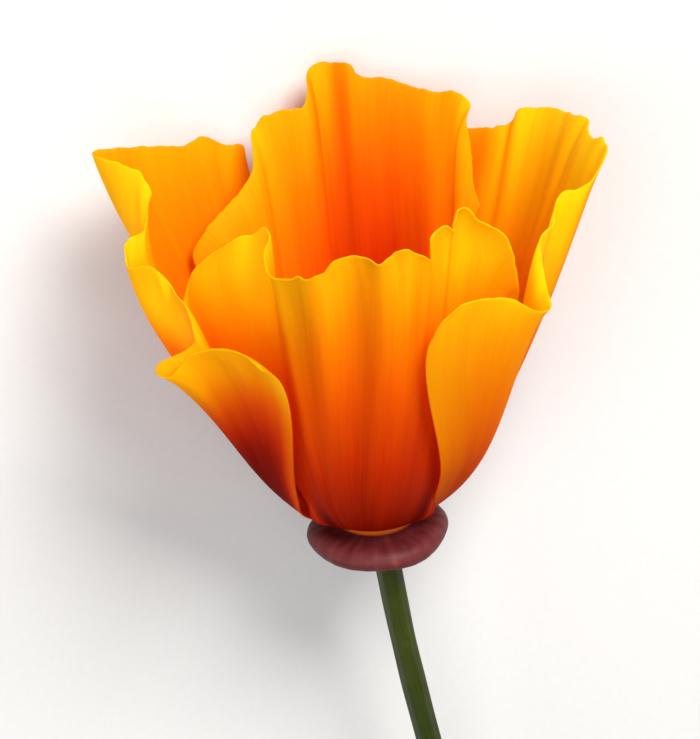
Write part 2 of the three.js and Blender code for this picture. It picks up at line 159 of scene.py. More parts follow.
PETALS = [
    {
        "name": "petal_front",
        "seed": 20,
        "foot": INNER_FOOT,
        "azimuths": (172, 24),
        "pleat": 0.55,
        "belly": [0.07, 0.08, 0.08, 0.07, 0.07, 0.065, 0.05, 0.03, 0.0],
        "rim": [
            (-13.9, 24.0, 1.3), (-13.3, 25.7, 1.6), (-12.4, 27.3, 2.4), (-9.6, 31.0, 5.6),
            (-8.2, 31.8, 6.2), (-7.0, 32.6, 7.6), (-6.9, 31.2, 11.0), (-6.4, 29.8, 12.0),
            (-3.6, 29.8, 12.6), (-2.6, 30.6, 12.8), (-1.1, 31.6, 13.0), (1.0, 31.7, 13.2),
            (2.1, 31.0, 13.3), (3.2, 32.0, 12.9), (4.2, 31.9, 13.4), (6.0, 30.8, 12.5),
            (6.4, 32.6, 11.6), (7.4, 32.6, 10.2), (8.4, 32.0, 9.8), (8.6, 33.5, 9.2),
            (9.6, 33.3, 8.4), (11.3, 31.0, 8.4), (12.7, 28.5, 8.3), (13.3, 25.0, 7.2),
            (12.8, 21.5, 6.0),
        ],
        "trims": [
            (0.16, 0.05, -0.4, 0.1), (0.218, 0.02, -0.65, 0.0), (0.27, 0.03, -0.2, 0.6),
            (0.3, 0.02, 0.25, 0.0), (0.35, 0.03, 0.25, 0.0), (0.378, 0.006, 0.4, 0.0),
            (0.425, 0.012, -0.4, 0.0), (0.45, 0.012, 0.2, 0.0), (0.49, 0.012, -0.35, 0.0),
            (0.513, 0.01, -0.2, 0.0), (0.543, 0.014, -0.45, 0.0), (0.567, 0.01, 0.35, 0.0),
            (0.59, 0.02, 0.1, 0.0), (0.617, 0.009, -0.8, 0.0), (0.635, 0.015, 0.0, -0.4),
            (0.69, 0.01, 0.3, 0.0), (0.71, 0.012, 0.0, -0.4), (0.72, 0.09, -0.55, 0.0),
            (0.785, 0.02, -0.25, 0.0), (0.835, 0.025, 0.45, 0.35), (0.87, 0.02, 0.0, 0.2),
        ],
        "corners": (0.0, 0.0),
        "bumps": [
            (-0.06, 0.82, 0.16, 0.16, 1.5),
            (0.0, 0.05, 0.22, 0.1, 1.5),
            (1.0, 0.05, 0.2, 0.1, 1.2),
            (0.37, 0.95, 0.022, 0.45, -0.42),
            (0.335, 0.6, 0.015, 0.5, 0.2),
            (0.44, 0.95, 0.028, 0.5, 0.34),
            (0.487, 0.95, 0.022, 0.5, -0.36),
            (0.55, 0.95, 0.02, 0.35, 0.32),
            (0.592, 0.95, 0.014, 0.35, -0.26),
            (0.635, 0.95, 0.016, 0.4, 0.2),
        ],
        "outer_warmth": [0.14, 0.18, 0.28, 0.42, 0.61, 0.79, 0.9],
        "inner_warmth": [0.2, 0.3, 0.42, 0.55, 0.68, 0.8, 0.9],
        # Mostly painted light and shade: shade at the foot and in the pleats, light where the side
        # petals' shadows fall and where light shines through the lobes.
        "patches": [
            ("outer", 0.5, 0.1, 0.7, 0.5, 0.0, -0.18),
            ("outer", 0.25, 0.1, 0.06, 0.08, -0.14, -0.2),
            ("outer", 0.79, 0.14, 0.06, 0.1, -0.16, -0.2),
            ("outer", 0.66, 0.85, 0.05, 0.3, 0.2, 0.05),
            ("outer", 0.74, 0.75, 0.04, 0.3, 0.16, 0.05),
            ("outer", 0.21, 0.66, 0.07, 0.3, 0.16, 0.1),
            ("outer", 0.08, 0.5, 0.1, 0.2, 0.14, 0.1),
            ("outer", 0.16, 0.28, 0.05, 0.2, 0.06, 0.25),
            ("outer", 0.86, 0.35, 0.05, 0.2, 0.06, 0.25),
            ("outer", 0.1, 0.75, 0.2, 0.35, 0.26, 0.12),
            ("outer", 0.12, 0.3, 0.05, 0.3, 0.1, 0.1),
            ("outer", 0.86, 0.3, 0.05, 0.3, 0.1, 0.1),
            ("outer", 0.5, 0.0, 0.6, 0.025, 0.5, 0.0),
            ("outer", 0.36, 0.85, 0.03, 0.35, -0.02, -0.2),
            ("outer", 0.48, 0.8, 0.035, 0.45, -0.04, -0.14),
            ("outer", 0.43, 0.85, 0.03, 0.35, 0.04, 0.06),
            ("outer", 0.56, 0.8, 0.03, 0.35, 0.08, 0.06),
            ("outer", 0.8, 0.85, 0.1, 0.3, 0.18, 0.08),
        ],
    },
    {
        "name": "petal_back",
        "seed": 27,
        "foot": INNER_FOOT,
        "azimuths": (352, 188),
        "pleat": 0.55,
        "belly": [0.05, 0.06, 0.07, 0.07, 0.07, 0.05, 0.0],
        "rim": [
            (11.4, 24.6, -9.2), (11.1, 28.5, -10.2), (11.0, 31.4, -10.9), (11.0, 33.5, -12.1),
            (10.2, 33.6, -13.4), (8.0, 33.5, -14.6), (6.4, 33.8, -15.6), (4.7, 34.4, -16.2),
            (2.6, 34.7, -16.3), (1.5, 35.5, -16.3), (0.9, 36.2, -16.3), (-0.7, 36.5, -16.5),
            (-2.0, 36.0, -16.6), (-2.4, 34.3, -14.9), (-3.0, 33.4, -14.2), (-6.0, 33.0, -14.6),
            (-7.6, 32.0, -14.3), (-8.0, 29.0, -11.5), (-9.2, 27.5, -10.5), (-11.5, 26.0, -9.0),
            (-12.9, 24.2, -7.9), (-13.3, 21.8, -6.9),
        ],
        "trims": [
            (0.05, 0.04, 0.0, -0.35), (0.19, 0.015, 0.0, 0.45), (0.265, 0.01, -0.2, 0.0),
            (0.438, 0.012, 0.3, 0.3), (0.475, 0.014, -0.3, 0.0), (0.55, 0.04, 0.0, 0.25),
            (0.655, 0.01, -0.2, 0.0), (0.69, 0.012, -0.3, 0.0), (0.745, 0.05, 0.0, 0.6),
            (0.96, 0.025, 0.0, -0.5),
        ],
        "corners": (0.0, 0.0),
        "bumps": [
            (0.25, 0.95, 0.03, 0.2, 0.5),
            (0.17, 0.95, 0.05, 0.3, -0.5),
            (0.47, 0.95, 0.02, 0.3, 0.35),
            (0.44, 0.95, 0.015, 0.25, -0.3),
        ],
        "outer_warmth": [0.2, 0.3, 0.42, 0.55, 0.66, 0.76, 0.84],
        "inner_warmth": [0.12, 0.16, 0.24, 0.36, 0.52, 0.67, 0.78],
        # Mostly painted light and shade: light on the folds turned from the lamps, shade in the creases
        # near the rim.
        "patches": [
            ("inner", 0.95, 0.85, 0.14, 0.5, 0.08, -0.04),
            ("inner", 0.72, 0.7, 0.12, 0.5, 0.2, 0.0),
            ("inner", 0.28, 0.6, 0.05, 0.3, 0.08, 0.0),
            ("inner", 0.08, 0.85, 0.08, 0.5, 0.12, 0.0),
            ("inner", 0.215, 0.72, 0.045, 0.35, 0.28, 0.2),
            ("inner", 0.6, 0.9, 0.05, 0.3, 0.08, 0.0),
            ("inner", 0.36, 0.5, 0.16, 0.25, -0.12, -0.05),
            ("inner", 0.245, 0.92, 0.025, 0.14, -0.04, -0.1),
            ("inner", 0.465, 0.9, 0.02, 0.25, -0.06, -0.12),
            ("inner", 0.505, 0.9, 0.025, 0.25, 0.1, 0.05),
        ],
    },
    {
        "name": "petal_left",
        "seed": 34,
        "foot": OUTER_FOOT,
        "azimuths": (252, 165),
        "pleat": 0.3,
        "belly": [0.05, 0.07, 0.1, 0.1, 0.095, 0.065, 0.05, 0.045, 0.035, 0.03],
        "rim": [
            (-6.9, 24.2, -18.4), (-8.5, 26.8, -17.7), (-8.7, 29.1, -17.0), (-11.7, 31.0, -15.0),
            (-16.3, 32.5, -10.5), (-20.6, 34.8, -5.4), (-17.1, 34.0, -2.7), (-16.2, 32.6, -1.9),
            (-16.9, 29.9, -0.6), (-18.8, 28.7, 0.8), (-18.6, 27.5, 2.2), (-16.6, 27.8, 3.0),
            (-15.4, 26.4, 4.2), (-14.0, 26.0, 7.0), (-13.4, 24.8, 9.0), (-13.3, 23.7, 9.8),
            (-15.0, 22.4, 10.2), (-16.4, 22.3, 11.4), (-15.7, 22.2, 12.0), (-13.8, 24.2, 12.6),
            (-11.2, 25.0, 13.4), (-9.5, 24.4, 13.6), (-8.0, 22.7, 13.4),
        ],
        "trims": [
            (0.085, 0.02, 0.0, 0.35), (0.115, 0.014, -0.45, 0.0), (0.152, 0.014, 0.3, 0.0),
            (0.195, 0.022, -0.5, 0.0), (0.27, 0.015, 0.3, 0.0), (0.31, 0.02, 0.2, 0.0),
            (0.442, 0.01, 0.0, 0.3), (0.478, 0.014, 0.0, 0.25), (0.53, 0.012, 0.0, 0.35),
            (0.57, 0.018, 0.0, 0.45), (0.655, 0.02, 0.0, 0.4), (0.81, 0.02, 0.7, 0.0),
        ],
        "corners": (0.0, 0.14),
        "bumps": [],
        # The outer face's dark foot is partly painted shade.
        "outer_warmth": [0.08, 0.1, 0.14, 0.2, 0.42, 0.78, 0.92],
        "inner_warmth": [0.2, 0.3, 0.42, 0.54, 0.64, 0.72, 0.8],
        # Mostly painted light and shade: light on the tops of the lobes, shade on the lower side of the
        # front lobe.
        "patches": [
            ("outer", 0.42, 0.8, 0.16, 0.5, 0.4, 0.0),
            ("outer", 0.64, 0.77, 0.04, 0.13, 0.24, 0.22),
            ("outer", 0.6, 1.0, 0.04, 0.1, -0.14, 0.0),
            ("inner", 0.57, 0.66, 0.05, 0.12, 0.18, 0.1),
            ("outer", 0.76, 0.85, 0.04, 0.2, 0.25, 0.15),
            ("outer", 0.48, 0.85, 0.08, 0.3, 0.0, 0.15),
            ("outer", 1.0, 0.4, 0.035, 0.7, 0.38, 0.05),
            ("outer", 0.84, 0.45, 0.14, 0.3, -0.06, -0.25),
            ("inner", 0.6, 0.95, 0.15, 0.25, 0.2, 0.0),
        ],
    },
    {
        "name": "petal_right",
        "seed": 41,
        "foot": OUTER_FOOT,
        "azimuths": (288, 388),
        "pleat": 0.3,
        "belly": [0.05, 0.06, 0.05, 0.05, 0.065, 0.065, 0.06, 0.055, 0.045],
        "rim": [
            (6.6, 24.9, -18.65), (8.2, 28.8, -17.5), (10.9, 30.4, -14.8), (13.2, 31.2, -12.2),
            (14.8, 31.5, -11.9), (15.5, 32.6, -11.3), (17.2, 33.0, -10.3), (20.4, 34.2, -4.8),
            (20.4, 33.4, -2.0), (21.6, 34.6, 1.2), (21.4, 34.0, 2.6), (19.9, 32.2, 4.0),
            (17.2, 31.4, 4.6), (16.3, 30.0, 6.2), (15.2, 29.0, 7.8), (15.0, 27.0, 9.2),
            (15.2, 25.6, 10.4), (15.4, 24.8, 11.8), (14.0, 25.4, 12.8), (12.1, 26.8, 13.0),
            (8.6, 27.0, 13.6), (7.2, 26.0, 13.5), (6.0, 24.2, 12.9),
        ],
        "trims": [
            (0.16, 0.05, -0.6, 0.0), (0.13, 0.02, -0.3, 0.0), (0.2, 0.008, -0.2, 0.0),
            (0.222, 0.014, -0.25, 0.0), (0.245, 0.014, 0.1, -0.25), (0.335, 0.014, -0.25, 0.0),
            (0.37, 0.022, -0.5, 0.0), (0.4, 0.012, -0.15, 0.3), (0.445, 0.012, 0.2, 0.0),
            (0.508, 0.014, -0.55, 0.1), (0.6, 0.01, -0.3, 0.0), (0.655, 0.01, 0.3, 0.0),
            (0.675, 0.012, 0.0, 0.4), (0.7, 0.018, 0.1, -0.2), (0.81, 0.025, 0.2, -0.35),
            (1.0, 0.03, 0.0, 0.35),
        ],
        "corners": (0.0, 0.14),
        "bumps": [
            (1.0, 0.14, 0.2, 0.18, -1.3),
        ],
        "outer_warmth": [0.36, 0.42, 0.5, 0.6, 0.71, 0.81, 0.9],
        "inner_warmth": [0.25, 0.34, 0.46, 0.58, 0.74, 0.86, 0.94],
        # Mostly painted light and shade: light on the shaded lower flap and on the pleat turned from the
        # lamps.
        "patches": [
            ("outer", 0.97, 0.4, 0.08, 0.6, 0.14, 0.05),
            ("outer", 0.66, 0.85, 0.1, 0.35, 0.12, 0.08),
            ("outer", 0.74, 0.65, 0.06, 0.3, 0.12, 0.15),
            ("outer", 0.88, 0.3, 0.08, 0.2, -0.05, -0.08),
            ("inner", 0.6, 0.92, 0.12, 0.3, 0.12, 0.05),
            ("inner", 0.25, 0.8, 0.12, 0.3, 0.08, 0.04),
            ("inner", 0.24, 0.72, 0.04, 0.3, 0.04, 0.14),
            ("inner", 0.19, 0.92, 0.045, 0.2, -0.22, -0.06),
            ("inner", 0.49, 0.95, 0.06, 0.2, 0.1, 0.05),
            ("outer", 0.6, 0.7, 0.05, 0.2, 0.12, 0.05),
            ("inner", 0.78, 0.6, 0.08, 0.4, 0.1, 0.15),
            ("outer", 0.72, 0.75, 0.06, 0.4, 0.1, 0.15),
        ],
    },
]

# -------------------------------------------------------------------- frame


def laid(points):
    """Points of the flower's frame turned to the way it lies, about the flower's origin."""
    points = np.asarray(points, float)
    x, y, z = points[..., 0], points[..., 1], points[..., 2]
    c, s = math.cos(LYING_PITCH), math.sin(LYING_PITCH)
    return np.stack([x, y * c - z * s, y * s + z * c], axis=-1)


def flower_origin():
    """Where the flower's origin lies in the row frame, in millimetres, from the receptacle's box."""
    low, high = (np.array(corner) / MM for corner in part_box("receptacle"))
    middle = (low + high) / 2
    neck = laid([0, NECK_BOTTOM, NECK_RADIUS])
    brim = laid([0, BRIM_MIDDLE, 0])
    return np.array([middle[0], low[1] - neck[1], middle[2] - brim[2]])


ORIGIN = flower_origin()


def placed(points):
    """Points of the flower's frame, in millimetres, as points of the row frame, in metres."""
    return (laid(points) + ORIGIN) * MM


def on_table(points):
    """Placed points, with those below the table's top raised to it."""
    points = placed(points)
    points[:, 2] = np.maximum(points[:, 2], 0.0)
    return points


def unit(vectors):
    """Vectors scaled to a length of 1."""
    return vectors / np.maximum(np.linalg.norm(vectors, axis=-1, keepdims=True), TINY)


def outward(azimuth):
    """Unit vectors pointing away from the axis at azimuths in degrees."""
    angle = np.radians(azimuth)
    return np.stack([np.cos(angle), np.zeros_like(angle), np.sin(angle)], axis=-1)


# -------------------------------------------------------------------- noise


def smooth_step(low, high, value):
    """0 below low, 1 above high, and a smooth rise between them."""
    share = np.clip((value - low) / (high - low), 0, 1)
    return share * share * (3 - 2 * share)


def wave_noise(x, seed):
    """Smooth repeatable noise from -1 to 1, with one random value for each whole number of x."""
    values = np.random.RandomState(seed).uniform(-1, 1, NOISE_VALUES)
    low = np.floor(x).astype(int)
    share = smooth_step(0, 1, x - low)
    return values[low % NOISE_VALUES] * (1 - share) + values[(low + 1) % NOISE_VALUES] * share


def sheet_noise(x, y, seed):
    """Smooth repeatable noise from -1 to 1 over a plane."""
    low = np.floor(y).astype(int)
    share = smooth_step(0, 1, y - low)
    below = wave_noise(x + NOISE_ROW * low, seed)
    above = wave_noise(x + NOISE_ROW * (low + 1), seed)
    return below * (1 - share) + above * share


# ------------------------------------------------------------------- curves


def span_curve(start, end, leave, arrive, w):
    """The curve from start to end that leaves and arrives at given slopes, at shares w."""
    square = -3 * start + 3 * end - 2 * leave - arrive
    cube = 2 * start - 2 * end + leave + arrive
    return start + leave * w + square * w**2 + cube * w**3


def curve_through(points, t):
    """Centripetal Catmull-Rom curve through points, at shares t of its spans."""
    points = np.asarray(points, float)
    padded = np.vstack([2 * points[0] - points[1], points, 2 * points[-1] - points[-2]])
    spans = len(points) - 1
    place = np.clip(t, 0, 1) * spans
    span = np.minimum(place.astype(int), spans - 1)
    w = (place - span)[..., None]
    p0, p1, p2, p3 = (padded[span + k] for k in range(4))
    d0, d1, d2 = (
        np.sqrt(np.linalg.norm(b - a, axis=-1, keepdims=True))
        for a, b in ((p0, p1), (p1, p2), (p2, p3))
    )
    leave = ((p1 - p0) / d0 - (p2 - p0) / (d0 + d1) + (p2 - p1) / d1) * d1
    arrive = ((p2 - p1) / d1 - (p3 - p1) / (d1 + d2) + (p3 - p2) / d2) * d1
    return span_curve(p1, p2, leave, arrive, w)


def values_through(values, t):
    """Smooth curve through plain values at even steps, at shares t."""
    values = np.asarray(values, float)
    padded = np.concatenate([values[:1], values, values[-1:]])
    place = np.clip(t, 0, 1) * (len(values) - 1)
    span = np.minimum(place.astype(int), len(values) - 2)
    w = place - span
    p0, p1, p2, p3 = (padded[span + k] for k in range(4))
    leave, arrive = (p2 - p0) / 2, (p3 - p1) / 2
    return span_curve(p1, p2, leave, arrive, w)


def even_shares(points, count):
    """Shares of a curve's spans that lie at even distances along it, and its length."""
    fine = np.linspace(0, 1, CURVE_SAMPLES)
    steps = np.linalg.norm(np.diff(curve_through(points, fine), axis=0), axis=1)
    distance = np.concatenate([[0], np.cumsum(steps)])
    return np.interp(np.linspace(0, distance[-1], count), distance, fine), distance[-1]


# ------------------------------------------------------------------- meshes


def grid_faces(rows, columns, closed=False):
    """Four-sided faces of a grid of points, closed round its columns or not."""
    across = np.arange(columns if closed else columns - 1)
    row, column = np.meshgrid(np.arange(rows - 1), across, indexing="ij")
    beside = (column + 1) % columns
    corners = [row * columns + column, row * columns + beside]
    corners += [(row + 1) * columns + beside, (row + 1) * columns + column]
    return np.stack([c.ravel() for c in corners], axis=1)


def border_loop(rows, columns):
    """Point numbers round the border of a grid, in the order that its faces turn."""
    foot = np.arange(columns - 1)
    end = np.arange(rows - 1) * columns + columns - 1
    top = (rows - 1) * columns + np.arange(columns - 1, 0, -1)
    start = np.arange(rows - 1, 0, -1) * columns
    return np.concatenate([foot, end, top, start])


def grid_normals(grid, away):
    """Unit normals of a petal's grid, on the side that away points to.

    Its last rows, pinched by the rim's waves, take the normals of the row below them.
    """
    normal = unit(np.cross(np.gradient(grid, axis=1), np.gradient(grid, axis=0)))
    normal[-PINCHED_ROWS:] = normal[-PINCHED_ROWS - 1]
    return normal if np.sum(normal * away) > 0 else -normal


def ring_faces(rings, sides):
    """Faces of a row of rings of points, closed at both ends."""
    first = np.arange(sides)
    last = (rings - 1) * sides + first
    faces = [list(face) for face in grid_faces(rings, sides, closed=True)]
    return faces + [list(first[::-1]), list(last)]


def seamless_turn(sides):
    """Values round a ring from 1 down to 0 and back, so that noise over them has no seam."""
    return np.abs(np.linspace(0, 1, sides, endpoint=False) - 0.5) * 2


def make_piece(name, points, faces, node, material, attributes=None):
    """An object of points in row-frame metres that stands for a CAD node."""
    mesh = bpy.data.meshes.new(name)
    mesh.from_pydata(points.tolist(), [], [list(face) for face in faces])
    for key, values in (attributes or {}).items():
        layer = mesh.attributes.new(key, "FLOAT", "POINT")
        layer.data.foreach_set("value", np.asarray(values, np.float32))
    mesh.validate()
    mesh.shade_smooth()
    mesh.materials.append(material)
    piece = bpy.data.objects.new(name, mesh)
    bpy.context.scene.collection.objects.link(piece)
    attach(piece, "root")
    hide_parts(node)
    return piece


def face_out(points, faces):
    """The same faces of a closed form, turned so that they face outward."""
    volume = 0.0
    for i in range(1, faces.shape[1] - 1):
        a, b, c = points[faces[:, 0]], points[faces[:, i]], points[faces[:, i + 1]]
        volume += np.einsum("ij,ij->", a, np.cross(b, c))
    return faces if volume > 0 else faces[:, ::-1]


def tube(path, radii, sides, ribs=0, rib_height=0.0, twist=0.0):
    """Rings of points along a path, with a radius for each of its points, and their faces."""
    along = unit(np.gradient(path, axis=0))
    side = np.cross(along[0], (0.13, 0.21, 0.97))
    rings = []
    for i, (centre, direction, radius) in enumerate(zip(path, along, radii)):
        side = side - direction * side.dot(direction)
        side /= np.linalg.norm(side)
        other = np.cross(direction, side)
        angle = np.linspace(0, 2 * math.pi, sides, endpoint=False)
        swell = 1 + rib_height * np.cos(ribs * angle + twist * i)
        ring = np.outer(np.cos(angle) * swell, side) + np.outer(np.sin(angle) * swell, other)
        rings.append(centre + ring * radius)
    return np.concatenate(rings), ring_faces(len(path), sides)


def joined(parts):
    """One list of points and faces of several (points, faces) pairs."""
    points, faces, count = [], [], 0
    for part_points, part_faces in parts:
        points.append(part_points)
        faces += [[corner + count for corner in face] for face in part_faces]
        count += len(part_points)
    return np.concatenate(points), faces


# ---------------------------------------------------------------- materials


def add_node(tree, kind, settings=None, **inputs):
    """A node with its settings made and its inputs set or linked.

    Underscores stand for spaces in an input's name, and at0, at1 and so on for its number.
    """
    made = tree.nodes.new("ShaderNode" + kind)
    for key, value in (settings or {}).items():
        setattr(made, key, value)
    for key, value in inputs.items():
        socket = made.inputs[int(key[2:]) if key.startswith("at") else key.replace("_", " ")]
        if isinstance(value, bpy.types.NodeSocket):
            tree.links.new(value, socket)
        else:
            socket.default_value = value
    return made


def maths(tree, operation, a, b, clamp=False):
    """The result of one sum."""
    settings = {"operation": operation, "use_clamp": clamp}
    return add_node(tree, "Math", settings, at0=a, at1=b).outputs[0]


def times(tree, value, factor):
    """A value times a factor."""
    return maths(tree, "MULTIPLY", value, factor)


def attribute(tree, name):
    """A value that the mesh holds for each of its points."""
    return add_node(tree, "Attribute", {"attribute_name": name}).outputs["Fac"]


def vector(tree, x, y, z):
    """Three values as one place."""
    return add_node(tree, "CombineXYZ", X=x, Y=y, Z=z).outputs[0]


def noise(tree, place, scale, detail, roughness=0.5):
    """Noise from 0 to 1 at a place."""
    made = add_node(tree, "TexNoise", Vector=place, Scale=scale, Detail=detail, Roughness=roughness)
    return made.outputs["Fac"]


def scaled(tree, value, factor):
    """How far a value lies above or below one half, times a factor."""
    return times(tree, maths(tree, "SUBTRACT", value, 0.5), factor)


def ramp(tree, place, stops):
    """Colours at places from 0 to 1, blended between them."""
    made = add_node(tree, "ValToRGB", Fac=place)
    elements = made.color_ramp.elements
    while len(elements) < len(stops):
        elements.new(0.5)
    for element, (position, colour) in zip(elements, stops):
        element.position = position
        element.color = (*colour, 1.0)
    return made.outputs["Color"]


def tinted(tree, colour, amount):
    """A colour times a grey amount."""
    settings = {"data_type": "RGBA", "blend_type": "MULTIPLY"}
    grey = add_node(tree, "CombineColor", Red=amount, Green=amount, Blue=amount).outputs[0]
    return add_node(tree, "Mix", settings, at0=1.0, at6=colour, at7=grey).outputs[2]


def bumped(tree, height, strength, distance):
    """Normals of a surface roughened by a height."""
    return add_node(tree, "Bump", Strength=strength, Distance=distance, Height=height).outputs[0]


def skin_surface(tree, colour, roughness, specular, bump):
    """A surface with its colour, roughness, strength of reflections and normals."""
    return add_node(
        tree, "BsdfPrincipled", Base_Color=colour, Roughness=roughness,
        Specular_IOR_Level=specular, Normal=bump,
    ).outputs[0]


def new_tree(name):
    """A new material and its empty tree of nodes."""
    material = bpy.data.materials.new(name)
    material.use_nodes = True
    material.node_tree.nodes.clear()
    return material, material.node_tree


def finish_tree(tree, shader):
    """Make a shader the material's surface."""
    add_node(tree, "OutputMaterial", Surface=shader)


def object_place(tree):
    """The place of a point in its object, in metres."""
    return add_node(tree, "TexCoord").outputs["Object"]


PETAL_COLOURS = [
    (0.0, (0.16, 0.004, 0.001)),
    (0.15, (0.42, 0.012, 0.001)),
    (0.3, (0.72, 0.042, 0.001)),
    (0.5, (0.92, 0.13, 0.001)),
    (0.7, (0.96, 0.28, 0.001)),
    (0.85, (0.97, 0.45, 0.002)),
    (1.0, (0.98, 0.62, 0.004)),
]
PETAL_GLOW = [
    (0.0, (0.3, 0.01, 0.001)),
    (0.3, (0.85, 0.1, 0.001)),
    (0.6, (0.98, 0.32, 0.002)),
    (1.0, (1.0, 0.7, 0.01)),
]
TRANSLUCENCE = 0.4
VEINS = 150.0  # across one petal
STREAKS = 26.0  # across one petal


def petal_material():
    """Silky petal: colour by warmth, veins that fan out from the foot, light shining through, and the
    painted light and shade that each point holds.
    """
    material, tree = new_tree("petal_skin")
    across, along = attribute(tree, "across"), attribute(tree, "along")
    warmth, seed = attribute(tree, "warmth"), attribute(tree, "seed")
    vein_place = vector(tree, times(tree, across, VEINS), times(tree, along, 4.0), seed)
    veins = noise(tree, vein_place, 1.0, 3.0, 0.6)
    streak_place = vector(tree, times(tree, across, STREAKS), times(tree, along, 1.6), seed)
    streaks = noise(tree, streak_place, 1.0, 2.0)
    grain = noise(tree, object_place(tree), 4500.0, 2.0)
    shift = maths(tree, "ADD", scaled(tree, streaks, 0.13), scaled(tree, veins, 0.08))
    place = maths(tree, "ADD", warmth, shift, clamp=True)
    # The veins and grain darken and lighten the petal's own colour; the painted light and shade of each
    # point is added to them.
    shade = maths(tree, "ADD", scaled(tree, veins, 0.11), scaled(tree, grain, 0.04))
    shade = maths(tree, "ADD", shade, attribute(tree, "painted_light_and_shade"))
    colour = tinted(tree, ramp(tree, place, PETAL_COLOURS), shade)
    height = maths(tree, "ADD", veins, scaled(tree, grain, 0.2))
    bump = bumped(tree, height, 0.25, 0.00006)
    surface = skin_surface(tree, colour, 0.6, 0.025, bump)
    glow = tinted(tree, ramp(tree, place, PETAL_GLOW), shade)
    through = add_node(tree, "BsdfTranslucent", Color=glow, Normal=bump).outputs[0]
    mixed = add_node(tree, "MixShader", at0=TRANSLUCENCE, at1=surface, at2=through).outputs[0]
    finish_tree(tree, mixed)
    return material


def receptacle_material():
    """Dull waxy rose with dark red streaks that run outward, a paler brim and an orange seat."""
    material, tree = new_tree("receptacle_skin")
    radius, turn = attribute(tree, "radius"), attribute(tree, "turn")
    streaks = noise(tree, vector(tree, times(tree, turn, 22.0), radius, 0.0), 1.0, 2.0)
    mottle = noise(tree, object_place(tree), 700.0, 4.0, 0.6)
    place = times(tree, maths(tree, "POWER", radius, 6.0), 0.35)
    place = maths(tree, "ADD", place, scaled(tree, streaks, 0.6))
    place = maths(tree, "ADD", place, scaled(tree, mottle, 0.5))
    place = maths(tree, "ADD", place, 0.3, clamp=True)
    rose = ramp(tree, place, [
        (0.0, (0.045, 0.003, 0.004)),
        (0.35, (0.08, 0.008, 0.01)),
        (0.7, (0.14, 0.025, 0.026)),
        (1.0, (0.27, 0.078, 0.072)),
    ])
    settings = {"data_type": "RGBA"}
    seat = (0.75, 0.16, 0.008, 1.0)
    colour = add_node(tree, "Mix", settings, at0=attribute(tree, "seat"), at6=rose, at7=seat).outputs[2]
    bump = bumped(tree, mottle, 0.3, 0.0001)
    finish_tree(tree, skin_surface(tree, colour, 0.5, 0.15, bump))
    return material


def stem_material():
    """Smooth matt green with fine lengthwise lines, darker towards the cut end."""
    material, tree = new_tree("stem_skin")
    along, turn = attribute(tree, "along"), attribute(tree, "turn")
    line_place = vector(tree, times(tree, turn, 30.0), times(tree, along, 14.0), 0.0)
    lines = noise(tree, line_place, 1.0, 3.0)
    mottle = noise(tree, object_place(tree), 700.0, 3.0)
    place = maths(tree, "ADD", scaled(tree, lines, 0.45), scaled(tree, mottle, 0.35))
    place = maths(tree, "ADD", place, times(tree, along, -0.75))
    place = maths(tree, "ADD", place, 0.8, clamp=True)
    colour = ramp(tree, place, [
        (0.0, (0.005, 0.013, 0.001)),
        (0.45, (0.014, 0.026, 0.002)),
        (0.8, (0.038, 0.05, 0.003)),
        (1.0, (0.075, 0.078, 0.006)),
    ])
    bump = bumped(tree, lines, 0.3, 0.0001)
    finish_tree(tree, skin_surface(tree, colour, 0.42, 0.22, bump))
    return material


def cut_material():
    """Pale wet pith of the cut end."""
    material, tree = new_tree("stem_pith")
    cells = noise(tree, object_place(tree), 5200.0, 4.0, 0.7)
    colour = ramp(tree, cells, [(0.3, (0.2, 0.26, 0.08)), (0.7, (0.5, 0.55, 0.26))])
    bump = bumped(tree, cells, 0.5, 0.00008)
    surface = add_node(tree, "BsdfPrincipled", Base_Color=colour, Roughness=0.3, Normal=bump).outputs[0]
    finish_tree(tree, surface)
    return material


def grainy_material(name, dark, light, scale, roughness, depth):
    """Powdery or finely haired tissue: two colours mixed by fine grain."""
    material, tree = new_tree(name)
    grains = noise(tree, object_place(tree), scale, 4.0, 0.65)
    broad = noise(tree, object_place(tree), scale / 8, 2.0)
    place = maths(tree, "ADD", grains, scaled(tree, broad, 0.4), clamp=True)
    colour = ramp(tree, place, [(0.3, dark), (0.7, light)])
    bump = bumped(tree, grains, 0.6, depth)
    finish_tree(tree, skin_surface(tree, colour, roughness, 0.3, bump))
    return material


# ------------------------------------------------------------------- pieces


def petal_grid(petal, t, along, rim_length):
    """Middle surface of a petal, row by row from foot to rim, with its foot's corners cut back."""
    first, last = petal["corners"]
    cut = 1 - smooth_step(0, CORNER_HEIGHT, along)[:, None]
    place = t[None, :] + cut * (first * (1 - t)[None, :] ** 2 - last * t[None, :] ** 2)
    whole = blade_grid(petal, t, along, rim_length)
    rows = [[np.interp(at, t, row[:, axis]) for axis in range(3)] for at, row in zip(place, whole)]
    return np.moveaxis(np.array(rows), 1, 2)


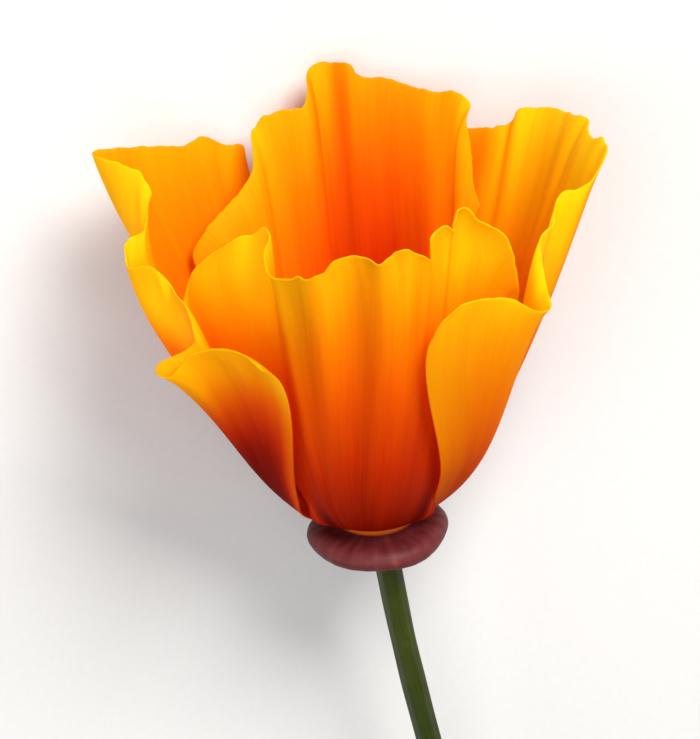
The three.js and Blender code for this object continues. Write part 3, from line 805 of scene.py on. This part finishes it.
def blade_grid(petal, t, along, rim_length):
    """Middle surface of a petal at shares t of its rim and at shares along its height."""
    foot = petal["foot"]
    azimuth = petal["azimuths"][0] + (petal["azimuths"][1] - petal["azimuths"][0]) * t
    start = outward(azimuth) * foot["radius"] + np.array([0, foot["height"], 0])
    end = curve_through(petal["rim"], t)
    half = np.minimum(np.minimum(PLEAT_WINDOW, t), 1 - t)
    sides = np.linspace(-1, 1, PLEAT_SAMPLES)
    window = [curve_through(petal["rim"], t + half * side) for side in sides]
    calm_end = np.mean(window, axis=0) * (1 - petal["pleat"]) + end * petal["pleat"]
    length = np.linalg.norm(calm_end - start, axis=1, keepdims=True)
    direction = (calm_end - start) / length
    middle = (start + calm_end) / 2
    bulge = unit(middle * ACROSS_AXIS)
    bulge = unit(bulge - direction * np.sum(bulge * direction, axis=1, keepdims=True))
    middle = middle + bulge * values_through(petal["belly"], t)[:, None] * length
    lift = math.radians(foot["lift"])
    leave = outward(azimuth) * math.cos(lift) + np.array([0, math.sin(lift), 0])
    first = start + leave * foot["reach"] * length
    second = (8 * middle - start - end) / 3 - first
    end = end + rim_change(petal, end, direction, rim_length)
    w = along[:, None, None]
    points = (1 - w) ** 3 * start + 3 * w * (1 - w) ** 2 * first
    return points + 3 * w**2 * (1 - w) * second + w**3 * end


def rim_change(petal, end, direction, rim_length):
    """How far the rim's small teeth and its trims move it, at even steps along it."""
    across = np.linspace(0, 1, len(end))
    distance = across * rim_length
    tooth = 0
    for number, (share, length) in enumerate(TOOTH_WAVES):
        tooth = tooth + share * wave_noise(distance / length, petal["seed"] + number)
    tooth = tooth * smooth_step(0, TOOTH_FADE, across) * smooth_step(0, TOOTH_FADE, 1 - across)
    tangent = unit(np.gradient(end, axis=0))
    slant = np.sum(tangent * direction, axis=1, keepdims=True)
    aside = direction - TOOTH_SQUARENESS * tangent * slant
    change = aside * (RIM_TOOTH * tooth)[:, None]
    for centre, half_width, up, right in petal["trims"]:
        share = np.exp(-(((across - centre) / half_width) ** 2))[:, None]
        change = change + share * (direction * up + np.array([right, 0, 0]))
    return change


def petal_relief(petal, across, along, rim_length):
    """How far the blade's folds stand out from its middle surface."""
    distance = across[None, :] * rim_length
    drift = along[:, None] * FOLD_DRIFT
    folds = 0
    for number, (share, width, changes) in enumerate(FOLD_WAVES, len(TOOTH_WAVES)):
        seed = petal["seed"] + number
        folds = folds + share * sheet_noise(distance / width + drift, along[:, None] * changes, seed)
    return FOLD_HEIGHT * smooth_step(*FOLD_RISE, along)[:, None] * folds


def petal_bumps(petal, across, along):
    """How far the blade's bumps stand out from the flower's axis."""
    out = np.zeros((len(along), len(across)))
    for centre, height, half_width, half_height, change in petal["bumps"]:
        out = out + change * spot(across, along, centre, height, half_width, half_height)
    return out


def spot(across, along, centre, height, half_width, half_height):
    """A soft spot that is 1 in its middle and fades to 0, over a petal's grid."""
    aside = (across[None, :] - centre) / half_width
    above = (along[:, None] - height) / half_height
    return np.exp(-(aside**2) - above**2)


def petal_colours(petal, face, across, along):
    """The colour's place and its painted light and shade at each point of one face."""
    warmth = values_through(petal[face + "_warmth"], along)[:, None] + 0 * across[None, :]
    # Light starts at 1; the patches paint light above it and shade below it.
    light = np.ones_like(warmth)
    for patch_face, centre, height, half_width, half_height, warmer, lighter in petal["patches"]:
        if patch_face == face:
            share = spot(across, along, centre, height, half_width, half_height)
            warmth = warmth + warmer * share
            light = light + lighter * share
    return warmth, light


def petal_surface(petal, across, along):
    """Middle surface of a petal, its outward normals, and how far its folds and bumps stand out."""
    t, rim_length = even_shares(petal["rim"], PETAL_COLUMNS)
    grid = petal_grid(petal, t, along, rim_length)
    away = grid * ACROSS_AXIS
    normal = grid_normals(grid, away)
    curl = RIM_CURL * np.clip((along - CURL_START) / (1 - CURL_START), 0, 1)[:, None] ** 2
    folds = petal_relief(petal, across, along, rim_length)
    bumps = petal_bumps(petal, across, along)
    grid = grid + normal * (folds + curl)[..., None] + unit(away) * bumps[..., None]
    return grid, grid_normals(grid, away), folds, bumps


def closed_sheet(grid, normal, along):
    """Points and faces of a thin blade about its middle surface, and the border of that surface."""
    thickness = PETAL_THICKNESS + (RIM_THICKNESS - PETAL_THICKNESS) * along[:, None, None] ** 0.5
    outer = (grid + normal * thickness / 2).reshape(-1, 3)
    inner = (grid - normal * thickness / 2).reshape(-1, 3)
    middle = grid.reshape(-1, 3)
    border = border_loop(PETAL_ROWS, PETAL_COLUMNS)
    ahead, behind = np.roll(middle[border], -1, axis=0), np.roll(middle[border], 1, axis=0)
    edge_way = unit(np.cross(ahead - behind, normal.reshape(-1, 3)[border]))
    if np.sum(edge_way * (middle[border] - middle.mean(axis=0))) < 0:
        edge_way = -edge_way
    edge = middle[border] + edge_way * (RIM_THICKNESS / 2)
    count = len(middle)
    sheet = grid_faces(PETAL_ROWS, PETAL_COLUMNS)
    following = np.roll(border, -1)
    number = 2 * count + np.arange(len(border))
    next_number = np.roll(number, -1)
    outer_lip = np.stack([following, border, number, next_number], axis=1)
    inner_lip = np.stack([border + count, following + count, next_number, number], axis=1)
    faces = np.concatenate([sheet, sheet[:, ::-1] + count, outer_lip, inner_lip])
    return np.concatenate([outer, inner, edge]), faces, border


def petal_attributes(petal, across, along, relief, border):
    """What a petal's material reads at the points of its outer face, inner face and edge."""
    wide = np.tile(across, (PETAL_ROWS, 1))
    high = np.tile(along[:, None], (1, PETAL_COLUMNS))
    seed = np.full(wide.shape, float(petal["seed"]))
    # Painted shade in the hollows of the folds and bumps and painted light on their ridges, the other
    # way round on the inner face.
    shade = FOLD_PAINTED_SHADE * np.clip(relief, -PAINTED_SHADE_LIMIT, PAINTED_SHADE_LIMIT)
    outer_warmth, outer_painted_light = petal_colours(petal, "outer", across, along)
    inner_warmth, inner_painted_light = petal_colours(petal, "inner", across, along)
    # The painted light and shade of the patches and folds reach the material as one value for each
    # point.
    values = {
        "across": (wide, wide),
        "along": (high, high),
        "warmth": (outer_warmth, inner_warmth),
        "painted_light_and_shade": (outer_painted_light + shade, inner_painted_light - shade),
        "seed": (seed, seed),
    }
    return {
        key: np.concatenate([outer.ravel(), inner.ravel(), inner.ravel()[border]])
        for key, (outer, inner) in values.items()
    }


def make_petal(petal, material):
    """One petal as a thin closed blade with a rounded edge."""
    across = np.linspace(0, 1, PETAL_COLUMNS)
    along = np.linspace(0, 1, PETAL_ROWS) ** ROW_POWER
    grid, normal, folds, bumps = petal_surface(petal, across, along)
    points, faces, border = closed_sheet(grid, normal, along)
    points = on_table(points)
    # How far the folds and bumps stand out, which sets their painted shade.
    relief = folds + np.clip(bumps, -PAINTED_SHADE_LIMIT, PAINTED_SHADE_LIMIT)
    attributes = petal_attributes(petal, across, along, relief, border)
    name = petal["name"]
    make_piece(name + "_blade", points, face_out(points, faces), name, material, attributes)


def make_receptacle(material):
    """Fleshy flared rim under the petals, with fine ribs running outward."""
    profile = [(radius, height, 0) for radius, height in RECEPTACLE_PROFILE]
    shares, _ = even_shares(profile, RECEPTACLE_STEPS)
    line = curve_through(profile, shares)
    radius, height = np.maximum(line[:, 0], 0.01), line[:, 1]
    azimuth = np.linspace(0, 1, RECEPTACLE_SIDES, endpoint=False) * 360
    out = smooth_step(2.5, BRIM_RADIUS, radius)[:, None]
    ribs = RIB_HEIGHT * np.cos(np.radians(azimuth * RECEPTACLE_RIBS))[None, :] * out
    ribs = ribs * smooth_step(-2.4, -1.2, height)[:, None]
    waves = 0
    for size, number, shift in BRIM_WAVES:
        waves = waves + size * np.sin(np.radians(azimuth * number + shift))[None, :]
    draw = 1 - BRIM_DRAW * out * waves / BRIM_WAVES[0][0]
    grid = outward(azimuth)[None, :, :] * (radius[:, None] * draw)[..., None]
    grid[..., 1] = height[:, None] + ribs + waves * out**2
    attributes = {
        "radius": np.repeat(radius / BRIM_RADIUS, RECEPTACLE_SIDES),
        "turn": np.tile(seamless_turn(RECEPTACLE_SIDES), RECEPTACLE_STEPS),
        "seat": np.repeat(smooth_step(3.5, 3.2, radius) * (height > 0), RECEPTACLE_SIDES),
    }
    points = placed(grid.reshape(-1, 3))
    faces = ring_faces(RECEPTACLE_STEPS, RECEPTACLE_SIDES)
    make_piece("receptacle_rim", points, faces, "receptacle", material, attributes)


def make_stem(skin, pith):
    """Ribbed stem, a little swollen at the top, cut off at the other end."""
    shares, _ = even_shares(STEM_PATH, STEM_STEPS)
    path = curve_through(STEM_PATH, shares)
    along = np.linspace(0, 1, STEM_STEPS)
    top_swell = 0.1 * np.exp(-along * 40)
    unevenness = 0.025 * wave_noise(along * 16, 5)
    radii = STEM_RADIUS * (1 + top_swell + unevenness)
    points, faces = tube(path, radii, STEM_SIDES, STEM_RIBS, rib_height=0.035, twist=0.012)
    attributes = {
        "along": np.repeat(along, STEM_SIDES),
        "turn": np.tile(seamless_turn(STEM_SIDES), STEM_STEPS),
    }
    piece = make_piece("stem_stalk", on_table(points), faces, "stem", skin, attributes)
    piece.data.materials.append(pith)
    cut = piece.data.polygons[len(faces) - 1]
    cut.material_index = 1
    cut.use_smooth = False


def leaning_path(root, azimuth, lean, length, bend):
    """A rod's centre line that bends out to its lean. Bend is the share of the lean added on the way."""
    share = np.linspace(0, 1, ROD_STEPS)
    angle = math.radians(lean) * (1 - bend + bend * share)
    step = outward(np.full(ROD_STEPS, azimuth)) * np.sin(angle)[:, None]
    step[:, 1] = np.cos(angle)
    return root + np.cumsum(step, axis=0) * length / ROD_STEPS


def make_stamens(filament, anther):
    """Short filaments with long powdery anthers, in two rings round the pistil."""
    random = np.random.RandomState(11)
    split = int(ROD_STEPS * (1 - ANTHER_SHARE))
    filaments, anthers = [], []
    for i in range(STAMEN_COUNT):
        azimuth = 360 * (i + 0.4 * random.uniform(-1, 1)) / STAMEN_COUNT
        ring, lean = STAMEN_RINGS[i % 2]
        lean = lean + random.uniform(-1.5, 2.0)
        length = STAMEN_LENGTH * random.uniform(0.84, 1.02)
        root = outward(np.array(azimuth)) * ring + np.array([0, BOSS_TOP - 0.1, 0])
        path = leaning_path(root, azimuth, lean, length, 0.35)
        stalk, head = path[: split + 2], path[split:]
        filaments.append(tube(stalk, np.linspace(*FILAMENT_RADII, len(stalk)), 8))
        share = np.linspace(0, 1, len(head))
        swell = ANTHER_RADIUS * np.sin(math.pi * (0.08 + 0.86 * share)) ** 0.35 * (1 - 0.25 * share)
        twist = random.uniform(-0.08, 0.08)
        anthers.append(tube(head, swell, 12, ribs=2, rib_height=0.2, twist=twist))
    points, faces = joined(filaments)
    make_piece("stamen_filaments", placed(points), faces, "stamens", filament)
    points, faces = joined(anthers)
    make_piece("stamen_anthers", placed(points), faces, "stamens", anther)


def make_pistil(ovary_skin, stigma_skin):
    """Ribbed ovary with four thin stigmas that spread from its tip."""
    height = np.linspace(0, 1, 60)
    path = np.stack([0 * height, BOSS_TOP + height * OVARY_LENGTH, 0 * height], axis=1)
    belly = 0.82 + 0.18 * np.sin(math.pi * np.minimum(height * 1.6, 1))
    radii = OVARY_RADIUS * belly * (1 - 0.45 * height**2)
    points, faces = tube(path, radii, 50, ribs=10, rib_height=0.06)
    make_piece("pistil_ovary", placed(points), faces, "pistil", ovary_skin)
    threads = []
    for azimuth, lean, length in STIGMAS:
        root = np.array([0, BOSS_TOP + OVARY_LENGTH - 0.7, 0]) + outward(np.array(azimuth)) * 0.15
        thread = leaning_path(root, azimuth, lean, length, 0.9)
        share = np.linspace(0, 1, ROD_STEPS)
        swell = 0.24 * (1 - 0.6 * share) * np.minimum(1, (1 - share) * 12 + 0.2)
        threads.append(tube(thread, swell * (1 + 0.12 * wave_noise(share * 26, 9)), 10))
    points, faces = joined(threads)
    make_piece("pistil_stigmas", placed(points), faces, "pistil", stigma_skin)


# -------------------------------------------------------------------- stage


def make_floor():
    """Plain pale table top under the flower."""
    mesh = bpy.data.meshes.new("floor")
    corners = [(x * FLOOR_REACH, y * FLOOR_REACH, 0) for x, y in ((-1, -1), (1, -1), (1, 1), (-1, 1))]
    mesh.from_pydata(corners, [], [(0, 1, 2, 3)])
    material, tree = new_tree("floor_paper")
    tooth = noise(tree, object_place(tree), 1500.0, 3.0)
    colour = ramp(tree, tooth, [(0.0, (0.66, 0.655, 0.645)), (1.0, (0.7, 0.695, 0.685))])
    finish_tree(tree, add_node(tree, "BsdfPrincipled", Base_Color=colour, Roughness=0.8).outputs[0])
    mesh.materials.append(material)
    floor = bpy.data.objects.new("floor", mesh)
    bpy.context.scene.collection.objects.link(floor)


def add_light(name, place, aim, size, power, colour=(1, 1, 1)):
    """A square soft light at a place in millimetres of the row frame, facing its aim."""
    data = bpy.data.lights.new(name, "AREA")
    data.shape = "SQUARE"
    data.size = size * MM
    data.energy = power
    data.color = colour
    lamp = bpy.data.objects.new(name, data)
    place, aim = Vector(place) * MM, Vector(aim) * MM
    lamp.location = place
    lamp.rotation_euler = (aim - place).to_track_quat("-Z", "Y").to_euler()
    bpy.context.scene.collection.objects.link(lamp)


def make_lights():
    """Three soft lights round the bloom and an even sky."""
    bloom = (0, 35, 16)
    add_light("key", (200, 400, 400), bloom, 240, 4.0, (1.0, 0.98, 0.95))
    add_light("top", (-60, 80, 600), bloom, 420, 1.6)
    add_light("fill", (-420, -120, 260), bloom, 360, 0.6, (0.98, 0.99, 1.0))
    world = bpy.data.worlds.new("studio")
    world.use_nodes = True
    world.node_tree.nodes["Background"].inputs["Color"].default_value = (0.97, 0.98, 1.0, 1.0)
    world.node_tree.nodes["Background"].inputs["Strength"].default_value = 0.3
    bpy.context.scene.world = world


def make_camera():
    """The camera, looking down on the flower as the photograph does."""
    lift = np.array([0, math.cos(VIEW_ELEVATION), -math.sin(VIEW_ELEVATION)])
    back = np.array([0, math.sin(VIEW_ELEVATION), math.cos(VIEW_ELEVATION)])
    level = np.array([1.0, 0, 0])
    right = math.cos(VIEW_ROLL) * level - math.sin(VIEW_ROLL) * lift
    up = math.sin(VIEW_ROLL) * level + math.cos(VIEW_ROLL) * lift
    centre = VIEW_CENTRE[0] * right + VIEW_CENTRE[1] * up + VIEW_CENTRE[2] * back
    columns = [laid(right), laid(up), laid(back), placed(centre + back * VIEW_DISTANCE)]
    rows = [[column[row] for column in columns] for row in range(3)]
    data = bpy.data.cameras.new("camera")
    data.sensor_width = SENSOR
    data.lens = SENSOR * VIEW_DISTANCE / VIEW_HEIGHT
    data.clip_start = 0.01
    camera = bpy.data.objects.new("camera", data)
    camera.matrix_world = Matrix(rows + [[0, 0, 0, 1]])
    bpy.context.scene.collection.objects.link(camera)
    bpy.context.scene.camera = camera


# ----------------------------------------------------------------- assembly

bpy.context.scene.view_settings.view_transform = "Standard"
petal_skin = petal_material()
for petal in PETALS:
    make_petal(petal, petal_skin)
make_receptacle(receptacle_material())
make_stem(stem_material(), cut_material())
make_stamens(
    grainy_material("filament_skin", (0.8, 0.26, 0.01), (0.95, 0.5, 0.03), 3000.0, 0.5, 0.00003),
    grainy_material("anther_powder", (1.0, 0.48, 0.02), (1.0, 0.8, 0.1), 6000.0, 0.85, 0.0001),
)
make_pistil(
    grainy_material("ovary_skin", (0.16, 0.22, 0.05), (0.34, 0.4, 0.12), 2500.0, 0.5, 0.00004),
    grainy_material("stigma_hairs", (0.6, 0.42, 0.05), (0.85, 0.7, 0.2), 7000.0, 0.7, 0.0001),
)
make_floor()
make_lights()
make_camera()
